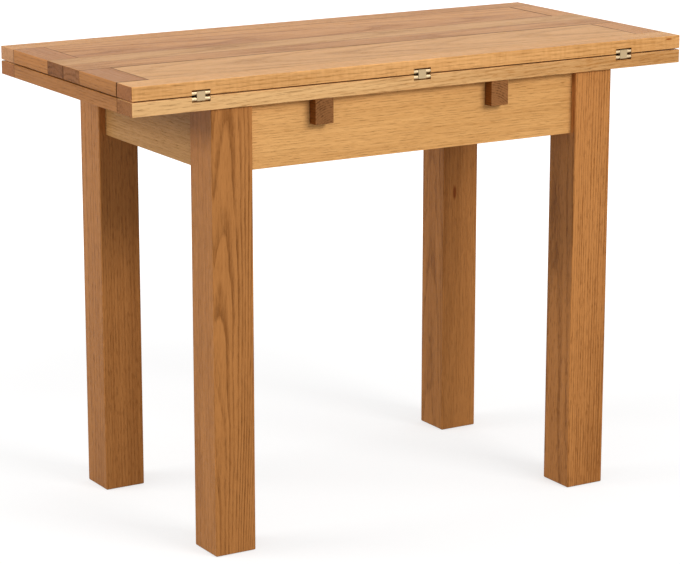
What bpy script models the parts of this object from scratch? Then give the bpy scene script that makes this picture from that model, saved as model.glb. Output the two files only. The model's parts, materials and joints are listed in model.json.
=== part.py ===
"""A fold-over extending dining table in oak, closed, in metres with +Z up.

The top is two equal leaves, stacked and hinged along the front edge by three brass double-pin hinges.
Two runners under the lower leaf slide back through notches in the front and back aprons, and loose tongues
on two guide rails hold them down and stop them at both ends. With the top slid back by half its width, the
upper leaf folds forward over the hinges and lands on the front apron, level with the lower leaf.
The origin is on the floor, under the middle of the closed top. X runs along the hinged edge, -Y is the front.
"""

import math

import bmesh
import bpy
from mathutils import Matrix, Vector

# Driving sizes of the top
TABLE_HEIGHT = 0.760
LEAF_LENGTH = 1.020
LEAF_WIDTH = 0.474
LEAF_THICKNESS = 0.022
LEAF_GAP = 0.002
OPEN_GAP = 0.002
LEAF_ARRIS = 0.001

# Boards that each leaf is glued up from
LONG_RAIL_WIDTH = 0.050
CENTRE_BOARD_WIDTH = 0.057
END_BOARD_WIDTH = 0.053
LOWER_FIELD_BOARDS = 3

# Driving sizes of the frame
LEG_SIZE = 0.071
LEG_ARRIS = 0.002
LEG_END_INSET = 0.136
LEG_SIDE_INSET = 0.006
LEG_CORNER_CUT = 0.020
APRON_HEIGHT = 0.103
APRON_THICKNESS = 0.022
APRON_SETBACK = 0.012
APRON_ARRIS = 0.001

# Corner blocks and the bolts that pull the legs against the aprons
BLOCK_WIDTH = 0.025
BLOCK_HEIGHT = 0.070
BLOCK_DROP = 0.014
BOLT_RADIUS = 0.004
BOLT_IN_LEG = 0.038
BOLT_TAIL = 0.006
WASHER_RADIUS = 0.010
WASHER_THICKNESS = 0.0016
NUT_FLATS_RADIUS = 0.0065
NUT_HEIGHT = 0.0065

# Runners under the lower leaf, the rails beside them and the tongues between
RUNNER_LEFT_X = -0.179
RUNNER_RIGHT_X = 0.148
RUNNER_WIDTH = 0.032
RUNNER_HEIGHT = 0.040
RUNNER_ARRIS = 0.001
RUNNER_NOSE = 0.034
RUNNER_PLAY = 0.0006
RUNNER_SCREW_PITCH = 0.170
RUNNER_SCREW_OFFSET = 0.006
RUNNER_SCREW_RADIUS = 0.0023
RUNNER_SCREW_WELL = 0.0055
RUNNER_WELL_DEPTH = 0.018
GUIDE_GAP = 0.001
GUIDE_WIDTH = 0.022
GUIDE_HEIGHT = 0.038
GUIDE_DROP = 0.004
TONGUE_HEIGHT = 0.008
TONGUE_DEPTH = 0.008
TONGUE_DROP = 0.018
TONGUE_SETBACK = 0.017

# Double-pin hinges
HINGE_SPREAD = 0.394
HINGE_WIDTH = 0.031
HINGE_LINK_WIDTH = 0.014
PIN_DEPTH = 0.0035
PIN_RADIUS = 0.001
PIN_RECESS = 0.0006
KNUCKLE_RADIUS = 0.0033
KNUCKLE_ROOM = 0.0018
LINK_FRONT = 0.0034
LINK_ARRIS = 0.0008
PLATE_THICKNESS = 0.0022
PLATE_LENGTH = 0.029
PLATE_CORNER = 0.009
SCREW_RADIUS = 0.0022
SCREW_HEAD_RADIUS = 0.0042
SCREW_PAIR_SPREAD = 0.009
SCREW_PAIR_BACK = 0.008
SCREW_SINGLE_BACK = 0.019

# Felt buffers that hold the back edges of the two leaves apart
BUFFER_RADIUS = 0.006
BUFFER_END_INSET = 0.030

# Clearances
SEAT = 0.0003
GLUE_LINE = 0.0003
LINK_PLAY = 0.0004
CUT_OVER = 0.002

# Facets
ROUND_SIDES = 16
BOLT_SIDES = 12
SMOOTH_ANGLE = math.radians(40)
THREE_QUARTERS = 270
ARRIS_SEGMENTS = 2
CORNER_SEGMENTS = 5

# Levels and faces that follow from the driving sizes
UPPER_TOP = TABLE_HEIGHT
UPPER_FACE = UPPER_TOP - LEAF_THICKNESS
LOWER_FACE = UPPER_FACE - LEAF_GAP
LOWER_UNDER = LOWER_FACE - LEAF_THICKNESS
FRAME_TOP = LOWER_UNDER - SEAT
APRON_BOTTOM = FRAME_TOP - APRON_HEIGHT
HALF_LENGTH = LEAF_LENGTH / 2
HALF_WIDTH = LEAF_WIDTH / 2
LEG_OUTER_X = HALF_LENGTH - LEG_END_INSET
LEG_OUTER_Y = HALF_WIDTH - LEG_SIDE_INSET
LEG_INNER_X = LEG_OUTER_X - LEG_SIZE
LEG_INNER_Y = LEG_OUTER_Y - LEG_SIZE
APRON_OUTER_X = LEG_OUTER_X - APRON_SETBACK
APRON_OUTER_Y = LEG_OUTER_Y - APRON_SETBACK
APRON_INNER_X = APRON_OUTER_X - APRON_THICKNESS
APRON_INNER_Y = APRON_OUTER_Y - APRON_THICKNESS

# The top slides until the open joint between the leaves stands over the middle of the frame
TRAVEL = HALF_WIDTH + OPEN_GAP / 2
RUNNER_TOP = LOWER_UNDER - SEAT
RUNNER_BOTTOM = RUNNER_TOP - RUNNER_HEIGHT
GROOVE_FRONT = -HALF_WIDTH + RUNNER_NOSE
TONGUE_FRONT = GROOVE_FRONT + TRAVEL + SEAT
TONGUE_BACK = APRON_INNER_Y - TONGUE_SETBACK
GROOVE_BACK = TONGUE_BACK + SEAT
TONGUE_TOP = RUNNER_TOP - TONGUE_DROP

# The pins stand square above each other when closed and side by side when open
PIN_INSET = PIN_DEPTH + (LEAF_GAP - OPEN_GAP) / 2
PIN_Y = -HALF_WIDTH + PIN_INSET
LOWER_PIN_Z = LOWER_FACE - PIN_DEPTH
UPPER_PIN_Z = UPPER_FACE + PIN_DEPTH
KNUCKLE_BACK = PIN_INSET + KNUCKLE_RADIUS + LINK_PLAY
PLATE_BACK = KNUCKLE_BACK + PLATE_LENGTH
HINGE_PLACES = (("left", -HINGE_SPREAD), ("middle", 0.0), ("right", HINGE_SPREAD))

# Colours, in linear light, with roughness and metallic
FINISHES = {
    "oak_top": ((0.52, 0.31, 0.15, 1.0), 0.42, 0.0),
    "oak_end_board": ((0.46, 0.25, 0.12, 1.0), 0.42, 0.0),
    "oak_apron": ((0.55, 0.34, 0.13, 1.0), 0.45, 0.0),
    "oak_leg": ((0.38, 0.19, 0.08, 1.0), 0.45, 0.0),
    "oak_runner": ((0.30, 0.15, 0.06, 1.0), 0.55, 0.0),
    "oak_inside": ((0.45, 0.28, 0.14, 1.0), 0.60, 0.0),
    "brass": ((0.78, 0.62, 0.34, 1.0), 0.30, 1.0),
    "steel": ((0.56, 0.56, 0.55, 1.0), 0.35, 1.0),
    "felt": ((0.30, 0.22, 0.15, 1.0), 0.95, 0.0),
}


def clear_scene():
    """Removes whatever the open file holds."""
    for thing in list(bpy.data.objects):
        bpy.data.objects.remove(thing, do_unlink=True)


def finish(name):
    """Returns the Principled material of one finish, made on first use."""
    material = bpy.data.materials.get(name)
    if material is None:
        colour, roughness, metallic = FINISHES[name]
        material = bpy.data.materials.new(name)
        material.use_nodes = True
        shader = material.node_tree.nodes["Principled BSDF"]
        shader.inputs["Base Color"].default_value = colour
        shader.inputs["Roughness"].default_value = roughness
        shader.inputs["Metallic"].default_value = metallic
    return material


def empty(name, place, parent=None):
    """Adds an empty at a world place, to carry the pieces of one moving body."""
    holder = bpy.data.objects.new(name, None)
    bpy.context.scene.collection.objects.link(holder)
    holder["place"] = place
    holder.location = Vector(place) - (Vector(parent["place"]) if parent else Vector())
    holder.parent = parent
    return holder


def piece(name, bm, material, carrier, smooth=False):
    """Turns a world-space bmesh into an object on its carrier, with its origin in the middle of its box."""
    bmesh.ops.recalc_face_normals(bm, faces=bm.faces)
    corners = [vert.co.copy() for vert in bm.verts]
    low = Vector([min(co[axis] for co in corners) for axis in range(3)])
    high = Vector([max(co[axis] for co in corners) for axis in range(3)])
    middle = (low + high) / 2
    bmesh.ops.translate(bm, verts=bm.verts, vec=-middle)
    mesh = bpy.data.meshes.new(name)
    bm.to_mesh(mesh)
    bm.free()
    if smooth:
        mesh.shade_smooth()
        mesh.set_sharp_from_angle(angle=SMOOTH_ANGLE)
    made = bpy.data.objects.new(name, mesh)
    bpy.context.scene.collection.objects.link(made)
    made.data.materials.append(finish(material))
    made.parent = carrier
    made.location = middle - Vector(carrier["place"])
    return made


def cut(target, name, bm):
    """Cuts a closed world-space shape out of an object, and leaves the cutter as a hidden wire."""
    cutter = piece(name, bm, "oak_inside", target.parent)
    cutter.hide_render = True
    cutter.display_type = "WIRE"
    modifier = target.modifiers.new(name, "BOOLEAN")
    modifier.operation = "DIFFERENCE"
    modifier.solver = "EXACT"
    modifier.object = cutter


def box(low, high):
    """A box between two corners."""
    bm = bmesh.new()
    size = Vector(high) - Vector(low)
    middle = (Vector(high) + Vector(low)) / 2
    bmesh.ops.create_cube(bm, size=1.0, matrix=Matrix.Translation(middle) @ Matrix.Diagonal((*size, 1.0)))
    return bm


def outer_edges(bm, low, high, sides):
    """Finds a box's edges that run round the named sides, such as -x or +y, and not those along joints."""
    planes = {"-x": (0, low[0]), "+x": (0, high[0]), "-y": (1, low[1]), "+y": (1, high[1])}
    found = []
    for edge in bm.edges:
        middle = (edge.verts[0].co + edge.verts[1].co) / 2
        on_side = [side for side in sides if abs(middle[planes[side][0]] - planes[side][1]) < GLUE_LINE / 2]
        level = abs(middle.z - low[2]) < GLUE_LINE / 2 or abs(middle.z - high[2]) < GLUE_LINE / 2
        if len(on_side) == 2 or (on_side and level):
            found.append(edge)
    return found


def board(low, high, sides, arris):
    """A sawn board whose arrises are eased only on the named outer sides."""
    bm = box(low, high)
    edges = outer_edges(bm, low, high, sides)
    if edges:
        bmesh.ops.bevel(
            bm, geom=edges, offset=arris, segments=ARRIS_SEGMENTS, profile=0.5, affect="EDGES"
        )
    return bm


def extrude(points, start, stop, axis):
    """A closed outline of (u, v) points, carried from start to stop along X, Y or Z."""
    order = {"X": (2, 0, 1), "Y": (0, 2, 1), "Z": (0, 1, 2)}[axis]
    bm = bmesh.new()
    ends = []
    for along in (start, stop):
        values = [(u, v, along) for u, v in points]
        ends.append([bm.verts.new([value[index] for index in order]) for value in values])
    bm.faces.new(ends[0])
    bm.faces.new(ends[1])
    count = len(points)
    for index in range(count):
        after = (index + 1) % count
        bm.faces.new((ends[0][index], ends[0][after], ends[1][after], ends[1][index]))
    return bm


def arc(centre, radius, start_deg, stop_deg, steps):
    """Points along a circular arc, both ends included."""
    span = stop_deg - start_deg
    angles = [math.radians(start_deg + span * step / steps) for step in range(steps + 1)]
    return [(centre[0] + radius * math.cos(a), centre[1] + radius * math.sin(a)) for a in angles]


def ring(sides, radius, six_sided):
    """Points of one ring of a turned piece, round or on a hexagon of that flat radius."""
    points = []
    for index in range(sides):
        angle = 2 * math.pi * index / sides
        reach = radius
        if six_sided:
            sixth = math.pi / 3
            reach = radius / math.cos((angle % sixth) - sixth / 2)
        points.append((reach * math.cos(angle), reach * math.sin(angle)))
    return points


def turned(start, direction, profile, sides=ROUND_SIDES):
    """A solid turned on an axis: profile holds (distance, radius, six_sided) from one end to the other."""
    bm = bmesh.new()
    turn = Vector((0, 0, 1)).rotation_difference(Vector(direction)).to_matrix()
    loops = []
    for distance, radius, six_sided in profile:
        points = [Vector((x, y, distance)) for x, y in ring(sides, radius, six_sided)]
        loops.append([bm.verts.new(Vector(start) + turn @ point) for point in points])
    for lower, upper in zip(loops, loops[1:]):
        for index in range(sides):
            after = (index + 1) % sides
            bm.faces.new((lower[index], lower[after], upper[after], upper[index]))
    bm.faces.new(loops[0])
    bm.faces.new(loops[-1])
    return bm


def rod(start, stop, radius, sides=ROUND_SIDES):
    """A plain round bar between two points."""
    direction = Vector(stop) - Vector(start)
    return turned(start, direction, [(0, radius, False), (direction.length, radius, False)], sides)


def leaf_board(name, x_span, y_span, z_span, material, carrier):
    """One board of a leaf, eased where it reaches the leaf's outer edge and butted elsewhere."""
    low = [x_span[0], y_span[0], z_span[0]]
    high = [x_span[1], y_span[1], z_span[1]]
    sides = []
    for axis, half, letter in ((0, HALF_LENGTH, "x"), (1, HALF_WIDTH, "y")):
        for bound, sign in ((low, -1), (high, 1)):
            if abs(bound[axis] - sign * half) < GLUE_LINE / 2:
                sides.append(("-" if sign < 0 else "+") + letter)
            else:
                bound[axis] -= sign * GLUE_LINE / 2
    return piece(name, board(low, high, sides, LEAF_ARRIS), material, carrier)


def hinge_pocket(hinge_x, face_z, into):
    """The recess for one hinge: deep for the knuckles, open at the edge, and shallow for the plate behind."""
    front = -HALF_WIDTH
    knuckle_z = face_z + into * (PIN_DEPTH + KNUCKLE_RADIUS + KNUCKLE_ROOM)
    plate_z = face_z + into * (PIN_DEPTH - KNUCKLE_RADIUS + PLATE_THICKNESS + SEAT)
    outline = [
        (front - CUT_OVER, face_z - into * CUT_OVER),
        (front + PLATE_BACK + SEAT, face_z - into * CUT_OVER),
        (front + PLATE_BACK + SEAT, plate_z),
        (front + KNUCKLE_BACK + SEAT, plate_z),
        (front + KNUCKLE_BACK + SEAT, knuckle_z),
        (front - CUT_OVER, knuckle_z),
    ]
    half = HINGE_WIDTH / 2 + SEAT
    bm = extrude(outline, hinge_x - half, hinge_x + half, "X")
    round_back_corners(bm, front + PLATE_BACK + SEAT, PLATE_CORNER + SEAT)
    return bm


def round_back_corners(bm, back_y, radius):
    """Rounds the two upright edges at the back end of a hinge plate or its recess."""
    edges = []
    for edge in bm.edges:
        first, second = (vert.co for vert in edge.verts)
        upright = abs(first.x - second.x) + abs(first.y - second.y) < SEAT / 10
        if upright and abs(first.y - back_y) < SEAT / 10:
            edges.append(edge)
    bmesh.ops.bevel(bm, geom=edges, offset=radius, segments=CORNER_SEGMENTS, profile=0.5, affect="EDGES")


def cut_hinge_pockets(rail, face_z, into):
    """Lets the three hinges into the front rail of a leaf."""
    for place, hinge_x in HINGE_PLACES:
        cut(rail, f"pocket_{place}_{rail.name}", hinge_pocket(hinge_x, face_z, into))


def make_upper_leaf(carrier):
    """Long rails front and back, two centre boards, and between them panels with end boards across."""
    z_span = (UPPER_FACE, UPPER_TOP)
    whole = (-HALF_LENGTH, HALF_LENGTH)
    rail_y = HALF_WIDTH - LONG_RAIL_WIDTH
    front = leaf_board("upper_front_rail", whole, (-HALF_WIDTH, -rail_y), z_span, "oak_top", carrier)
    cut_hinge_pockets(front, UPPER_FACE, 1)
    leaf_board("upper_back_rail", whole, (rail_y, HALF_WIDTH), z_span, "oak_top", carrier)
    front_centre = (-CENTRE_BOARD_WIDTH, 0.0)
    leaf_board("upper_centre_board_front", whole, front_centre, z_span, "oak_top", carrier)
    back_centre = (0.0, CENTRE_BOARD_WIDTH)
    leaf_board("upper_centre_board_back", whole, back_centre, z_span, "oak_top", carrier)
    field_x = HALF_LENGTH - END_BOARD_WIDTH
    for side, y_span in (("front", (-rail_y, -CENTRE_BOARD_WIDTH)), ("back", (CENTRE_BOARD_WIDTH, rail_y))):
        leaf_board(f"upper_panel_{side}", (-field_x, field_x), y_span, z_span, "oak_top", carrier)
        for end, x_span in (("left", (-HALF_LENGTH, -field_x)), ("right", (field_x, HALF_LENGTH))):
            name = f"upper_end_board_{side}_{end}"
            leaf_board(name, x_span, y_span, z_span, "oak_end_board", carrier)


def make_lower_leaf(carrier):
    """Long rails front and back, one end board across at each end, and plain boards in the field."""
    z_span = (LOWER_UNDER, LOWER_FACE)
    whole = (-HALF_LENGTH, HALF_LENGTH)
    rail_y = HALF_WIDTH - LONG_RAIL_WIDTH
    front = leaf_board("lower_front_rail", whole, (-HALF_WIDTH, -rail_y), z_span, "oak_top", carrier)
    cut_hinge_pockets(front, LOWER_FACE, -1)
    leaf_board("lower_back_rail", whole, (rail_y, HALF_WIDTH), z_span, "oak_top", carrier)
    field_x = HALF_LENGTH - END_BOARD_WIDTH
    for end, x_span in (("left", (-HALF_LENGTH, -field_x)), ("right", (field_x, HALF_LENGTH))):
        leaf_board(f"lower_end_board_{end}", x_span, (-rail_y, rail_y), z_span, "oak_end_board", carrier)
    step = 2 * rail_y / LOWER_FIELD_BOARDS
    for index in range(LOWER_FIELD_BOARDS):
        y_span = (-rail_y + index * step, -rail_y + (index + 1) * step)
        name = f"lower_field_board_{index + 1}"
        leaf_board(name, (-field_x, field_x), y_span, z_span, "oak_top", carrier)


def make_hinge_plate(name, hinge_x, face_z, into, carrier):
    """A plate let into the inner face, rolled into two barrels at the edge with a slot for the link."""
    front = -HALF_WIDTH
    pin_z = face_z + into * PIN_DEPTH
    near = pin_z - into * KNUCKLE_RADIUS
    under_plate = near + into * PLATE_THICKNESS
    rise = math.degrees(math.asin((PLATE_THICKNESS - KNUCKLE_RADIUS) / KNUCKLE_RADIUS))
    barrel = arc((0, 0), KNUCKLE_RADIUS, rise, THREE_QUARTERS, ROUND_SIDES)
    outline = [(PIN_Y + back, pin_z + into * deep) for back, deep in barrel]
    outline += [(front + PLATE_BACK, near), (front + PLATE_BACK, under_plate)]
    bm = extrude(outline, hinge_x - HINGE_WIDTH / 2, hinge_x + HINGE_WIDTH / 2, "X")
    round_back_corners(bm, front + PLATE_BACK, PLATE_CORNER)
    plate = piece(name, bm, "brass", carrier, True)
    slot = HINGE_LINK_WIDTH / 2 + SEAT
    room = KNUCKLE_RADIUS + CUT_OVER
    slot_low = (hinge_x - slot, front - CUT_OVER, pin_z - room)
    slot_high = (hinge_x + slot, front + KNUCKLE_BACK, pin_z + room)
    cut(plate, f"slot_{name}", box(slot_low, slot_high))
    reach = HINGE_WIDTH / 2 + CUT_OVER
    bore = rod((hinge_x - reach, PIN_Y, pin_z), (hinge_x + reach, PIN_Y, pin_z), PIN_RADIUS + SEAT)
    cut(plate, f"bore_{name}", bore)
    for number, (x, y) in enumerate(hinge_screw_places(hinge_x)):
        cut(plate, f"screw_hole_{number}_{name}", screw_hole(x, y, near, into))


def hinge_screw_places(hinge_x):
    """Two screws side by side behind the knuckles and one in the round end of the plate."""
    behind = -HALF_WIDTH + KNUCKLE_BACK
    return (
        (hinge_x - SCREW_PAIR_SPREAD, behind + SCREW_PAIR_BACK),
        (hinge_x + SCREW_PAIR_SPREAD, behind + SCREW_PAIR_BACK),
        (hinge_x, behind + SCREW_SINGLE_BACK),
    )


def screw_hole(x, y, near, into):
    """A countersunk hole through the plate, wide at the inner face."""
    sink = SCREW_HEAD_RADIUS - SCREW_RADIUS
    profile = [
        (-CUT_OVER, SCREW_HEAD_RADIUS, False),
        (0.0, SCREW_HEAD_RADIUS, False),
        (sink, SCREW_RADIUS, False),
        (PLATE_THICKNESS + CUT_OVER, SCREW_RADIUS, False),
    ]
    return turned((x, y, near), (0, 0, into), profile, ROUND_SIDES)


def make_hinge_link(name, hinge_x, carrier):
    """A link on the two pins of one hinge, round at the back of its ends and flat at the front edge."""
    steps = ROUND_SIDES // 2
    upper = arc((PIN_Y, UPPER_PIN_Z), KNUCKLE_RADIUS, 0, 90, steps)
    lower = arc((PIN_Y, LOWER_PIN_Z), KNUCKLE_RADIUS, THREE_QUARTERS, 360, steps)
    front_y = PIN_Y - LINK_FRONT
    drop = KNUCKLE_RADIUS - LINK_ARRIS
    face = [
        (front_y + LINK_ARRIS, UPPER_PIN_Z + KNUCKLE_RADIUS),
        (front_y, UPPER_PIN_Z + drop),
        (front_y, LOWER_PIN_Z - drop),
        (front_y + LINK_ARRIS, LOWER_PIN_Z - KNUCKLE_RADIUS),
    ]
    half = HINGE_LINK_WIDTH / 2
    bm = extrude(upper + face + lower, hinge_x - half, hinge_x + half, "X")
    link = piece(name, bm, "brass", carrier, True)
    reach = half + CUT_OVER
    for level, pin_z in (("lower", LOWER_PIN_Z), ("upper", UPPER_PIN_Z)):
        bore = rod((hinge_x - reach, PIN_Y, pin_z), (hinge_x + reach, PIN_Y, pin_z), PIN_RADIUS + SEAT)
        cut(link, f"bore_{level}_{name}", bore)


def make_hinge_pin(name, hinge_x, pin_z, carrier):
    """A pin through both knuckles and the link."""
    reach = HINGE_WIDTH / 2 - PIN_RECESS
    start = (hinge_x - reach, PIN_Y, pin_z)
    stop = (hinge_x + reach, PIN_Y, pin_z)
    piece(name, rod(start, stop, PIN_RADIUS), "steel", carrier, True)


def make_hinges(sliding_top, hinge_links, flip_leaf):
    """Three hinges, each with two plates, two pins and the link between them."""
    for place, hinge_x in HINGE_PLACES:
        make_hinge_plate(f"hinge_plate_lower_{place}", hinge_x, LOWER_FACE, -1, sliding_top)
        make_hinge_pin(f"hinge_pin_lower_{place}", hinge_x, LOWER_PIN_Z, sliding_top)
        make_hinge_link(f"hinge_link_{place}", hinge_x, hinge_links)
        make_hinge_plate(f"hinge_plate_upper_{place}", hinge_x, UPPER_FACE, 1, flip_leaf)
        make_hinge_pin(f"hinge_pin_upper_{place}", hinge_x, UPPER_PIN_Z, flip_leaf)


def make_runner(name, middle_x, inner_side, carrier):
    """A bar fixed under the lower leaf, with a stopped groove in the side that faces the guide rail."""
    half = RUNNER_WIDTH / 2
    low = (middle_x - half, -HALF_WIDTH, RUNNER_BOTTOM)
    high = (middle_x + half, HALF_WIDTH, RUNNER_TOP)
    runner = piece(name, board(low, high, ("-y", "+y"), RUNNER_ARRIS), "oak_runner", carrier)
    face_x = middle_x + inner_side * half
    ends = (face_x - inner_side * (TONGUE_DEPTH + SEAT), face_x + inner_side * CUT_OVER)
    groove_low = (min(ends), GROOVE_FRONT, TONGUE_TOP - TONGUE_HEIGHT - SEAT)
    groove_high = (max(ends), GROOVE_BACK, TONGUE_TOP + SEAT)
    cut(runner, f"groove_{name}", box(groove_low, groove_high))
    for number, step in enumerate((-1, 0, 1)):
        profile = [
            (-CUT_OVER, RUNNER_SCREW_WELL, False),
            (RUNNER_WELL_DEPTH, RUNNER_SCREW_WELL, False),
            (RUNNER_WELL_DEPTH, RUNNER_SCREW_RADIUS, False),
            (RUNNER_HEIGHT + CUT_OVER, RUNNER_SCREW_RADIUS, False),
        ]
        start = (middle_x - inner_side * RUNNER_SCREW_OFFSET, step * RUNNER_SCREW_PITCH, RUNNER_BOTTOM)
        cut(runner, f"screw_well_{number}_{name}", turned(start, (0, 0, 1), profile))


def make_guide(side, middle_x, inner_side, carrier):
    """A rail across the frame beside one runner, with a loose tongue glued into it."""
    face_x = middle_x + inner_side * (RUNNER_WIDTH / 2 + GUIDE_GAP)
    ends = (face_x, face_x + inner_side * GUIDE_WIDTH)
    top = FRAME_TOP - GUIDE_DROP
    reach = APRON_INNER_Y - SEAT
    rail_low = (min(ends), -reach, top - GUIDE_HEIGHT)
    rail_high = (max(ends), reach, top)
    rail = piece(f"guide_rail_{side}", box(rail_low, rail_high), "oak_inside", carrier)
    socket = (face_x - inner_side * CUT_OVER, face_x + inner_side * (TONGUE_DEPTH + SEAT))
    socket_low = (min(socket), TONGUE_FRONT - SEAT, TONGUE_TOP - TONGUE_HEIGHT - SEAT)
    socket_high = (max(socket), TONGUE_BACK + SEAT, TONGUE_TOP + SEAT)
    cut(rail, f"socket_{side}", box(socket_low, socket_high))
    tongue = (face_x - inner_side * (GUIDE_GAP + TONGUE_DEPTH), face_x + inner_side * TONGUE_DEPTH)
    tongue_low = (min(tongue), TONGUE_FRONT, TONGUE_TOP - TONGUE_HEIGHT)
    tongue_high = (max(tongue), TONGUE_BACK, TONGUE_TOP)
    piece(f"guide_tongue_{side}", box(tongue_low, tongue_high), "oak_inside", carrier)


def make_runners(sliding_top, frame):
    """Both runners, their guide rails and their tongues."""
    for side, middle_x, inner_side in (("left", RUNNER_LEFT_X, 1), ("right", RUNNER_RIGHT_X, -1)):
        make_runner(f"runner_{side}", middle_x, inner_side, sliding_top)
        make_guide(side, middle_x, inner_side, frame)


def make_buffers(carrier):
    """Two felt discs on the back rail of the lower leaf."""
    place_y = HALF_WIDTH - LONG_RAIL_WIDTH / 2
    for side, sign in (("left", -1), ("right", 1)):
        place_x = sign * (HALF_LENGTH - BUFFER_END_INSET)
        start = (place_x, place_y, LOWER_FACE + SEAT)
        stop = (place_x, place_y, UPPER_FACE - SEAT)
        piece(f"leaf_buffer_{side}", rod(start, stop, BUFFER_RADIUS), "felt", carrier, True)


def make_leg(name, sign_x, sign_y, carrier):
    """A square leg, its inner corner cut flat behind the aprons to take the bolt."""
    outer = (sign_x * LEG_OUTER_X, sign_y * LEG_OUTER_Y)
    inner = (sign_x * LEG_INNER_X, sign_y * LEG_INNER_Y)
    low = (min(outer[0], inner[0]), min(outer[1], inner[1]), 0.0)
    high = (max(outer[0], inner[0]), max(outer[1], inner[1]), FRAME_TOP)
    leg = piece(name, board(low, high, ("-x", "+x", "-y", "+y"), LEG_ARRIS), "oak_leg", carrier)
    corner = [
        (inner[0] - sign_x * CUT_OVER, inner[1] - sign_y * CUT_OVER),
        (inner[0] + sign_x * LEG_CORNER_CUT, inner[1] - sign_y * CUT_OVER),
        (inner[0] + sign_x * LEG_CORNER_CUT, inner[1]),
        (inner[0], inner[1] + sign_y * LEG_CORNER_CUT),
        (inner[0] - sign_x * CUT_OVER, inner[1] + sign_y * LEG_CORNER_CUT),
    ]
    cut(leg, f"corner_cut_{name}", extrude(corner, APRON_BOTTOM, FRAME_TOP + CUT_OVER, "Z"))
    start, inward = bolt_axis(sign_x, sign_y)
    mouth = start + inward * (BOLT_IN_LEG + LEG_CORNER_CUT)
    cut(leg, f"bolt_hole_{name}", rod(start - inward * SEAT, mouth, BOLT_RADIUS + SEAT))


def bolt_axis(sign_x, sign_y):
    """The end of a bolt deep in the leg, and its direction along the diagonal into the frame."""
    inward = Vector((-sign_x, -sign_y, 0)).normalized()
    half_cut = LEG_CORNER_CUT / 2
    flat = Vector((sign_x * (LEG_INNER_X + half_cut), sign_y * (LEG_INNER_Y + half_cut), 0))
    flat.z = FRAME_TOP - BLOCK_DROP - BLOCK_HEIGHT / 2
    return flat - inward * BOLT_IN_LEG, inward


def make_corner(name, sign_x, sign_y, carrier):
    """A block across the corner of the aprons, and the bolt through it into the leg."""
    start, inward = bolt_axis(sign_x, sign_y)
    face_x = sign_x * (APRON_INNER_X - SEAT)
    face_y = sign_y * (APRON_INNER_Y - SEAT)
    flat = start + inward * (BOLT_IN_LEG + SEAT)
    back = flat + inward * BLOCK_WIDTH
    outline = []
    for point, corner_first in ((flat, True), (back, False)):
        total = abs(point.x) + abs(point.y)
        on_end = (face_x, sign_y * (total - abs(face_x)))
        on_side = (sign_x * (total - abs(face_y)), face_y)
        outline += [on_end, on_side] if corner_first else [on_side, on_end]
    top = FRAME_TOP - BLOCK_DROP
    bm = extrude(outline, top - BLOCK_HEIGHT, top, "Z")
    block = piece(f"corner_block_{name}", bm, "oak_inside", carrier)
    reach = BOLT_IN_LEG + BLOCK_WIDTH
    way_out = start + inward * (reach + CUT_OVER)
    cut(block, f"bolt_way_{name}", rod(start, way_out, BOLT_RADIUS + SEAT))
    washer = reach + 2 * SEAT
    nut = washer + WASHER_THICKNESS
    profile = [
        (0.0, BOLT_RADIUS, False),
        (washer, BOLT_RADIUS, False),
        (washer, WASHER_RADIUS, False),
        (nut, WASHER_RADIUS, False),
        (nut, NUT_FLATS_RADIUS, True),
        (nut + NUT_HEIGHT, NUT_FLATS_RADIUS, True),
        (nut + NUT_HEIGHT, BOLT_RADIUS, False),
        (nut + NUT_HEIGHT + BOLT_TAIL, BOLT_RADIUS, False),
    ]
    piece(f"leg_bolt_{name}", turned(start, inward, profile, BOLT_SIDES), "steel", carrier)


def apron_outline():
    """The front apron's face outline, with a notch down from its top edge for each runner."""
    end_x = LEG_INNER_X - SEAT
    floor = RUNNER_BOTTOM - RUNNER_PLAY
    outline = [(-end_x, APRON_BOTTOM), (-end_x, FRAME_TOP)]
    for middle_x in (RUNNER_LEFT_X, RUNNER_RIGHT_X):
        half = RUNNER_WIDTH / 2 + RUNNER_PLAY
        outline += [(middle_x - half, FRAME_TOP), (middle_x - half, floor)]
        outline += [(middle_x + half, floor), (middle_x + half, FRAME_TOP)]
    outline += [(end_x, FRAME_TOP), (end_x, APRON_BOTTOM)]
    return outline


def ease_bottom(bm):
    """Eases the two long bottom arrises of an apron."""
    edges = []
    for edge in bm.edges:
        first, second = (vert.co for vert in edge.verts)
        low = max(first.z, second.z) < APRON_BOTTOM + SEAT
        if low and (first - second).length > 2 * APRON_THICKNESS:
            edges.append(edge)
    bmesh.ops.bevel(
        bm, geom=edges, offset=APRON_ARRIS, segments=ARRIS_SEGMENTS, profile=0.5, affect="EDGES"
    )
    return bm


def make_frame(carrier):
    """Four legs, four aprons and the corners that tie them together."""
    for depth, sign_y in (("front", -1), ("back", 1)):
        faces = sorted((sign_y * APRON_OUTER_Y, sign_y * APRON_INNER_Y))
        bm = ease_bottom(extrude(apron_outline(), faces[0], faces[1], "Y"))
        piece(f"apron_{depth}", bm, "oak_apron", carrier)
        for side, sign_x in (("left", -1), ("right", 1)):
            make_leg(f"leg_{depth}_{side}", sign_x, sign_y, carrier)
            make_corner(f"{depth}_{side}", sign_x, sign_y, carrier)
    for side, sign_x in (("left", -1), ("right", 1)):
        faces = sorted((sign_x * APRON_OUTER_X, sign_x * APRON_INNER_X))
        reach = LEG_INNER_Y - SEAT
        bm = box((faces[0], -reach, APRON_BOTTOM), (faces[1], reach, FRAME_TOP))
        piece(f"apron_{side}", ease_bottom(bm), "oak_apron", carrier)


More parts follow.
